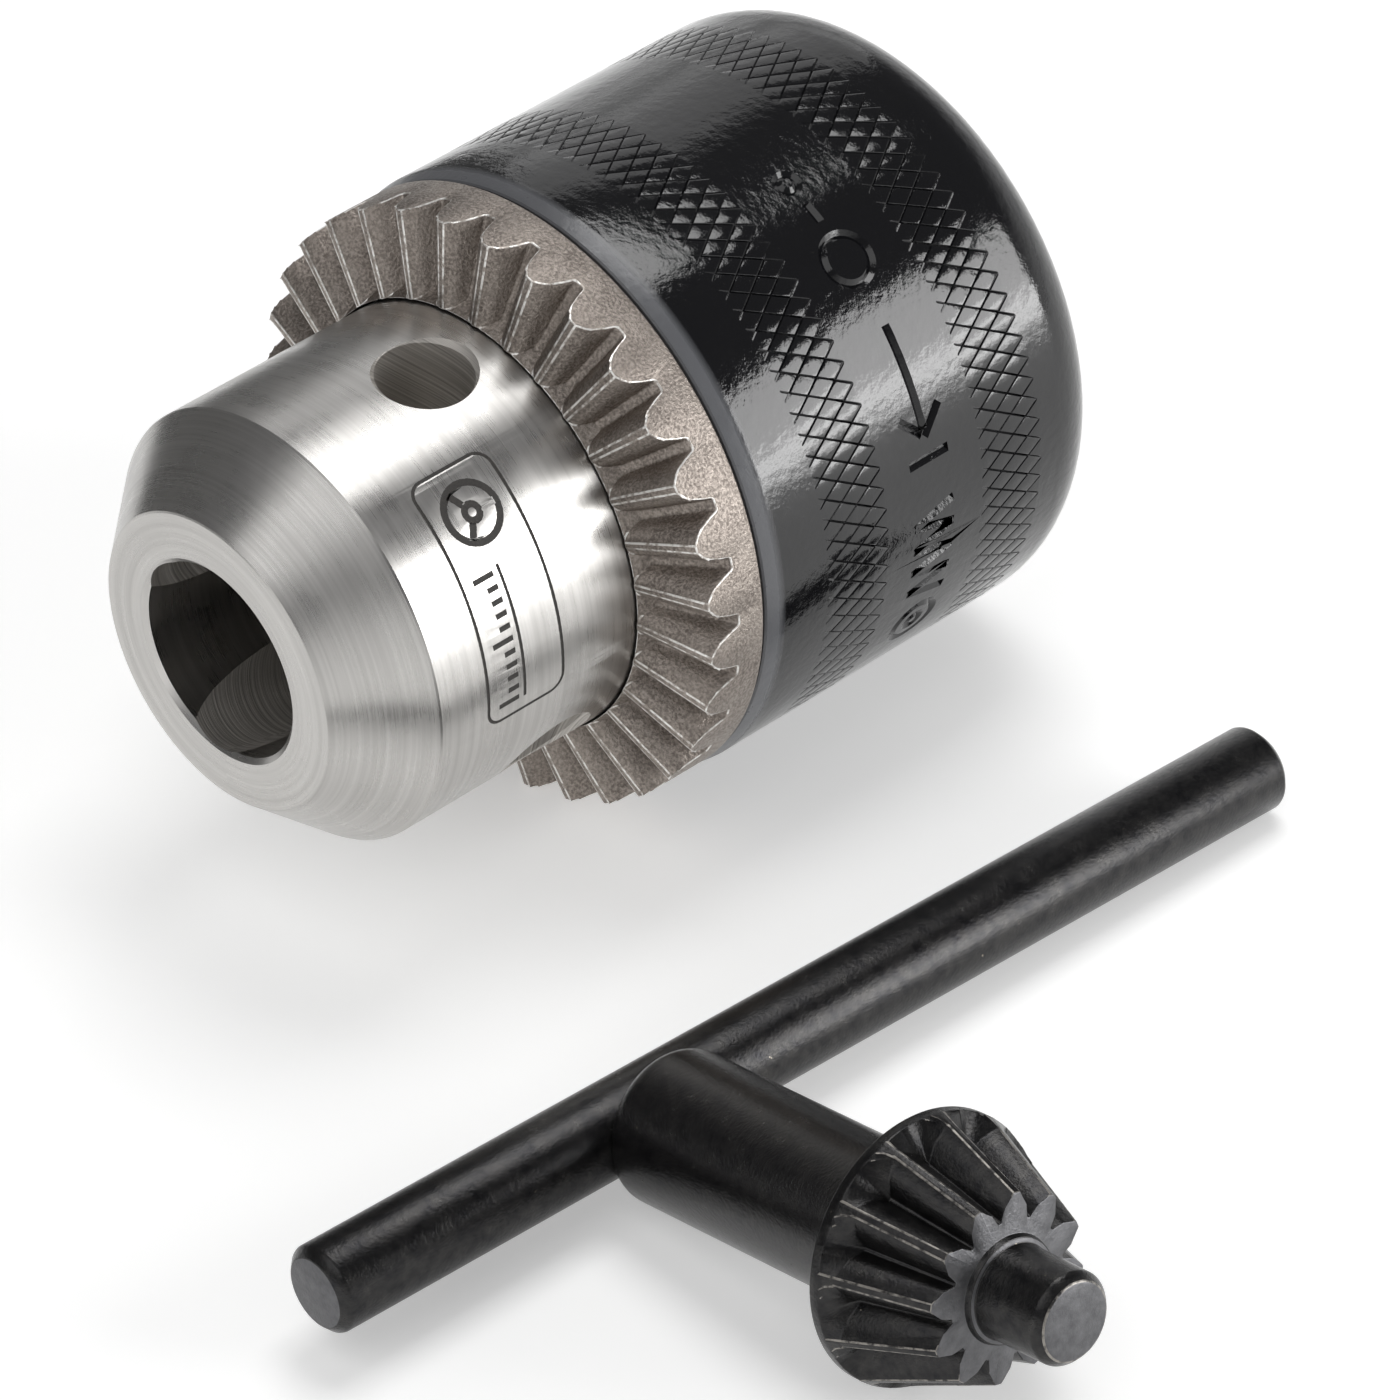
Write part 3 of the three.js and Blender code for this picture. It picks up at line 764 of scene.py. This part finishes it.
def knurl_strip(start):
    """One pitch of a knurled band, from groove to groove, modelled flat and then wrapped on the sleeve."""
    pitch = TAU * SLEEVE_R / KNURL["count"]
    slope = tan(radians(KNURL["slant"]))
    width = KNURL["first"] + KNURL["rows"] * KNURL["step"]
    deselect()
    bpy.ops.mesh.primitive_grid_add(x_subdivisions=1, y_subdivisions=1)
    strip = bpy.context.object
    for vertex, (u, v) in zip(strip.data.vertices, ((0, 0), (pitch, 0), (0, width), (pitch, width))):
        vertex.co = Vector((u + v * slope, v, -KNURL["depth"])) * MM
    edit(strip)
    for row in range(KNURL["rows"] + 1):
        v = KNURL["first"] + row * KNURL["step"]
        bpy.ops.mesh.select_all(action="SELECT")
        bpy.ops.mesh.bisect(plane_co=Vector((v * slope, v, 0)) * MM,
                            plane_no=(cos(radians(KNURL["slant"])), sin(radians(KNURL["slant"])), 0))
    # Each field between the grooves is inset twice, which leaves its edges rounded by the enamel.
    bpy.ops.mesh.select_mode(type="FACE")
    bpy.ops.mesh.select_all(action="SELECT")
    bpy.ops.mesh.inset(use_individual=True, thickness=KNURL["groove"] * MM)
    bpy.ops.transform.translate(value=(0, 0, (KNURL["depth"] - KNURL["crown"]) * MM))
    bpy.ops.mesh.inset(use_individual=True, thickness=KNURL["crown_inset"] * MM)
    bpy.ops.transform.translate(value=(0, 0, KNURL["crown"] * MM))
    leave()
    margin = KNURL["groove"] * 1.5
    for vertex in strip.data.vertices:
        u, v, h = vertex.co / MM
        if min(v, width - v) < (margin if h > -0.5 * KNURL["depth"] else 0.001):
            h = 0
        vertex.co = Vector(polar(SLEEVE_R + h, u / SLEEVE_R * 360 / TAU, start + v)) * MM
    strip.name = "knurl"
    edit_where(strip, lambda p: abs(p.y - start - width) < 0.001)
    bpy.ops.mesh.subdivide(number_cuts=1)
    leave()
    return strip


def rings_at(piece, *places):
    """Edit mode with only the rings of vertices selected that lie at those (distance, radius) places."""
    edit_where(piece, lambda p: any(abs(p.y - distance) < 0.002 and abs(hypot(p.x, p.z) - radius) < 0.03
                                    for distance, radius in places))


def around_sleeve(azimuth):
    """Length of the arc from azimuth zero, in mm."""
    return azimuth / 360 * TAU * SLEEVE_R


def stamped_marks():
    """Bore signs from small to large, a closing arrow, a thread sign and a ringed dot, in stamped strokes."""
    mid, half = STAMPS["middle"], STAMPS["half"]
    at = {name: around_sleeve(azimuth) for name, azimuth in STAMP_AZIMUTH.items()}
    tip = at["tip"]
    marks = [ring_path(at["small"], mid, STAMPS["small_r"], 18), ring_path(at["large"], mid, half, 30),
             line_path(at["dash"], mid, at["dash_end"], mid), line_path(at["tail"], mid, tip - 0.5, mid),
             line_path(tip - half, mid + half, tip, mid),
             line_path(tip - half, mid - half, tip - 0.2, mid - 0.2),
             line_path(at["bar"], mid - half, at["bar"], mid + half)]
    for i in range(STAMPS["zigzag"]):
        low, high = (mid - half, mid + half) if i % 2 else (mid + half, mid - half)
        start = at["zigzag"] + STAMPS["zigzag_step"] * i
        marks.append(line_path(start, low, start + STAMPS["zigzag_step"], high))
    marks += [ring_path(at["ringed"], mid, half, 30), ring_path(at["ringed"], mid, STAMPS["dot_r"], 18)]
    strokes = [groove("mark", path, STAMPS["width"], STAMPS["depth"], SLEEVE_R) for path in marks]
    return join(strokes, "stamps")


def knurled_sleeve():
    width = KNURL["first"] + KNURL["rows"] * KNURL["step"]
    bands = [around(knurl_strip(start), KNURL["count"], KNURL_PHASE) for start in KNURL_BANDS]
    sleeve = join(bands, "knurled_sleeve_enamelled")
    edit(sleeve)
    bpy.ops.mesh.remove_doubles(threshold=0.002 * MM)
    leave()
    front, bevel, bevel_r = SLEEVE["front"], SLEEVE["bevel"], SLEEVE["bevel_r"]
    first, seat_r, seat, bore = KNURL_BANDS[0], SLEEVE["seat_r"], SLEEVE["seat"], SLEEVE["bore"]
    rings_at(sleeve, (first, SLEEVE_R))
    pull([(SLEEVE_R, first), (SLEEVE_R, front + bevel + 0.15), (SLEEVE_R - 0.03, front + bevel - 0.1),
          (bevel_r + 0.02, front + 0.12), (bevel_r - 0.1, front), (seat_r, front), (seat_r, seat),
          (bore, seat)])
    leave()
    last, rear, edge = KNURL_BANDS[1] + width, SLEEVE["rear"], SLEEVE["edge"]
    hole_r, inner = SLEEVE["hole_r"], rear - SLEEVE["inner_bevel"]
    rings_at(sleeve, (last, SLEEVE_R))
    pull([(SLEEVE_R, last), *arc(SLEEVE_R - edge, rear - edge, edge, 0, 88, 12), (hole_r + 0.05, rear - 0.2),
          (hole_r, rear - 0.35), (hole_r, rear - SLEEVE["wall"]), (SLEEVE["inner_r"], rear - SLEEVE["wall"]),
          (bore, inner)])
    leave()
    # The plain band between the knurls, and the bore inside.
    for pair in (((first + width, SLEEVE_R), (KNURL_BANDS[1], SLEEVE_R)), ((seat, bore), (inner, bore))):
        rings_at(sleeve, *pair)
        bpy.ops.mesh.bridge_edge_loops()
        leave()
    clean(sleeve)
    give(sleeve, black_enamel())
    cut(sleeve, stamped_marks())
    smooth(sleeve, 24)
    settle(sleeve, CHUCK, "sleeve", "knurled_sleeve")


# ---- key ----

def crest_radius(along):
    start = KEY_BODY["rim"] + KEY_BODY["rim_width"]
    share = (along - start) / (KEY_BODY["front"] - start)
    return KEY_BODY["rim_r"] + (PINION["front_r"] - KEY_BODY["rim_r"]) * share


def floor_radius(along):
    share = (along - PINION["heel"]) / (KEY_BODY["front"] - PINION["heel"])
    return PINION["heel_r"] + (PINION["floor_r"] - PINION["heel_r"]) * share


def pinion_section(along, floor):
    """Across a gap of the pinion: a V whose flanks bulge a little, open beyond the tooth tips."""
    crest = crest_radius(along)
    half = 180 / PINION["teeth"] - PINION["crest"] / crest * 360 / TAU
    mid = 0.5 * (crest + floor)
    flank = 0.42 * half
    side = [(crest * 1.3, half * 1.15), (crest, half), (mid, flank), (floor, 1.2)]
    outline = [*side, *[(r, -azimuth) for r, azimuth in reversed(side)]]
    return [polar(r, azimuth, along) for r, azimuth in outline]


def pinion_gap():
    """A cutter for one gap: from a fan-shaped run-out at the rim to past the front face."""
    rim = KEY_BODY["rim"] + KEY_BODY["rim_width"]
    half = 180 / PINION["teeth"] - PINION["crest"] / KEY_BODY["rim_r"] * 360 / TAU
    edge_r = KEY_BODY["rim_r"] + 0.02
    side = [(edge_r * 1.3, half * 1.15), (edge_r, half), (edge_r, half * 0.4), (edge_r, 2.0)]
    outline = [*side, *[(r, -azimuth) for r, azimuth in reversed(side)]]
    sections = [[polar(r, azimuth, rim) for r, azimuth in outline]]
    for along in (PINION["heel"], KEY_BODY["front"] + 1.2):
        sections.append(pinion_section(along, floor_radius(along)))
    return loft("gap", sections)


def on_pinion_crest(point):
    """The crests of the teeth and the end of the pilot."""
    on_teeth = KEY_BODY["rim"] + KEY_BODY["rim_width"] + 0.2 < point.y < KEY_BODY["front"] + 0.1
    on_crest = on_teeth and hypot(point.x, point.z) > crest_radius(point.y) - 0.25
    return on_crest or point.y > PILOT["end"] - 0.2


def cut_faces(piece, name, chosen):
    """The turned or sawn faces square to the shaft, which the oxide leaves a lighter, duller grey."""
    give(piece, black_oxide(name, "#525254", "#6C6C6E", 0.36))
    for face in piece.data.polygons:
        if abs(face.normal.y) > 0.9 and chosen(face.center / MM):
            face.material_index = len(piece.data.materials) - 1


def key_profile():
    """Half a section of the key's shaft, rim, cone and pilot; edges are broken by about 0.1 mm."""
    r, rear, edge = KEY_BODY["r"], KEY_BODY["rear"], KEY_BODY["edge"]
    rim, rim_r, front = KEY_BODY["rim"], KEY_BODY["rim_r"], KEY_BODY["front"]
    pilot_r, end, chamfer = PILOT["r"], PILOT["end"], PILOT["chamfer"]
    shoulder_r, shoulder = PILOT["shoulder_r"], front + PILOT["shoulder"]
    shaft = [(AXIS_R, rear), *arc(r - edge, rear + edge, edge, -88, 0, 8), (r, rim - 1.1),
             (r + 0.25, rim - 0.62)]
    cone = [(rim_r - 0.35, rim - 0.3), (rim_r, rim), (rim_r, rim + KEY_BODY["rim_width"]),
            (PINION["front_r"], front)]
    pilot = [(shoulder_r, front), (shoulder_r - 0.08, shoulder), (pilot_r + 0.02, shoulder + 0.05),
             (pilot_r, end - chamfer - 0.1), (pilot_r - 0.12, end - chamfer + 0.1),
             (pilot_r - chamfer + 0.08, end - 0.05), (pilot_r - chamfer - 0.08, end)]
    return [*shaft, *cone, *pilot]


def key_body():
    key = turned("key_body_oxide", key_profile(), KEY_SEGMENTS)
    # The pinion's edges get the second finish: rubbed wear with a painted highlight along the crests.
    give(key, black_oxide("hot_black_oxide"), worn_and_highlighted_edge("pinion_edge_rubbed_and_highlighted", KEY, "#343332", "#8A8680"))
    cut(key, around(pinion_gap(), PINION["teeth"], PINION["azimuth"]))
    # The shaft's rear end is hollowed to sit closely round the bar.
    saddle = turned("saddle", [(HANDLE["r"] - 0.03, -9), (HANDLE["r"] - 0.03, 9)], SMALL)
    saddle.data.transform(Matrix.Rotation(radians(90), 4, "Z"))
    cut(key, saddle)
    soften(key, PINION["edge"], 30, 1)
    rubbed_and_highlighted_only(key, on_pinion_crest)
    cut_faces(key, "oxide_on_turned_face", lambda p: p.y > KEY_BODY["front"] - 0.05)
    smooth(key, 30)
    settle(key, KEY, "key", "key_body")


def key_handle():
    r, chamfer = HANDLE["r"], HANDLE["chamfer"]
    half = [(AXIS_R, 0.0), (r - chamfer - 0.06, 0.0), (r - chamfer + 0.06, 0.06), (r - 0.08, chamfer - 0.1),
            (r, chamfer + 0.1)]
    profile = [*[(radius, HANDLE_FROM + rise) for radius, rise in half],
               *[(radius, HANDLE_TO - rise) for radius, rise in reversed(half)]]
    handle = turned("key_handle_oxide", profile, SMALL)
    give(handle, black_oxide("hot_black_oxide_bar"))
    cut_faces(handle, "oxide_on_sawn_face", lambda p: not HANDLE_FROM + 0.2 < p.y < HANDLE_TO - 0.2)
    handle.data.transform(Matrix.Rotation(radians(-90), 4, "Z"))
    smooth(handle, 40)
    settle(handle, KEY, "key", "key_handle")


def nut_halves():
    """The nut halves keep their shape from the frame and get a turned steel finish."""
    finish = hardened_steel("turned_nut_steel", "#7A756E", "#A59F97", 0.4)
    for name in ("nut_half_a", "nut_half_b"):
        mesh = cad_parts[name].data
        mesh.materials.clear()
        mesh.materials.append(finish)


# ---- studio ----

def table():
    """A pale, softly glowing table top."""
    deselect()
    bpy.ops.mesh.primitive_plane_add(size=6)
    top = bpy.context.object
    top.name = "table"
    made, tree, shader = material("pale_matt_table")
    connect(tree, shader, {"Base Color": srgb("#F4F4F3"), "Roughness": 0.6, "Emission Color": srgb("#FFFFFF"),
                           "Emission Strength": 0.35})
    give(top, made)


def dark_card():
    """A dark grey card standing to the left, seen only in the reflections of the bright steel."""
    deselect()
    bpy.ops.mesh.primitive_plane_add(size=1, location=(-0.17, -0.1, 0.075), rotation=(0, radians(90), 0))
    card = bpy.context.object
    card.name = "dark_card"
    card.scale = (0.15, 0.4, 1)
    made, tree, shader = material("dark_grey_card")
    connect(tree, shader, {"Base Color": srgb("#5C5C5C"), "Roughness": 0.9})
    give(card, made)
    card.visible_camera = card.visible_diffuse = card.visible_shadow = False


def soft_light(name, place, size, radiance):
    """A rectangular softbox that faces the chuck, with the brightness that its reflection shows."""
    light = bpy.data.lights.new(name, "AREA")
    light.shape, light.size, light.size_y = "RECTANGLE", size[0], size[1]
    light.energy = radiance * pi * size[0] * size[1]
    lamp = bpy.data.objects.new(name, light)
    lamp.location = place
    lamp.rotation_euler = (Vector(place) - Vector((AXIS_X, 0, AXIS_Z))).to_track_quat("Z", "Y").to_euler()
    lamp.visible_camera = False
    bpy.context.collection.objects.link(lamp)


def studio():
    """White towards the horizon and dark overhead, with softboxes behind, above and in front."""
    bpy.context.scene.view_settings.view_transform = "Standard"
    world = bpy.data.worlds.new("studio")
    bpy.context.scene.world = world
    world.use_nodes = True
    tree = world.node_tree
    direction = add(tree, "ShaderNodeTexCoord", {})["Generated"]
    height = add(tree, "ShaderNodeSeparateXYZ", {0: direction})["Z"]
    sky = two_tone(tree, height, 0.02, 0.42, (1, 1, 1, 1), (0.14, 0.14, 0.145, 1))
    connect(tree, tree.nodes["Background"], {"Color": sky})
    soft_light("right_softbox", (0.64, 0.47, 0.27), (0.4, 0.41), 6.0)
    soft_light("top_softbox", (-0.07, 0.167, 0.52), (0.3, 0.25), 4.6)
    soft_light("right_low_softbox", (0.72, 0.5, 0.09), (0.5, 0.18), 4.5)
    soft_light("left_softbox", (-0.5, 0.44, 0.38), (0.45, 0.35), 0.75)
    soft_light("front_softbox", (0.07, -0.55, 0.85), (0.9, 0.7), 1.15)
    soft_light("low_front_softbox", (0.1, -0.75, 0.12), (0.5, 0.2), 0.9)


def camera():
    azimuth, elevation, roll, distance = radians(47.68), radians(36.31), radians(2.6), 0.5085
    aim = Vector((0.00003, -0.00108, 0.0233))
    towards = Vector((sin(azimuth) * cos(elevation), -cos(azimuth) * cos(elevation), sin(elevation)))
    lens = bpy.data.cameras.new("camera")
    lens.lens, lens.sensor_width, lens.clip_start = 209.59, 36.0, 0.01
    eye = bpy.data.objects.new("camera", lens)
    eye.matrix_world = (Matrix.Translation(aim + towards * distance) @ Matrix.Rotation(azimuth, 4, "Z")
                        @ Matrix.Rotation(radians(90) - elevation, 4, "X") @ Matrix.Rotation(-roll, 4, "Z"))
    bpy.context.collection.objects.link(eye)
    bpy.context.scene.camera = eye


camera()
studio()
table()
dark_card()
chuck_body()
jaws()
ring_gear()
knurled_sleeve()
key_body()
key_handle()
nut_halves()
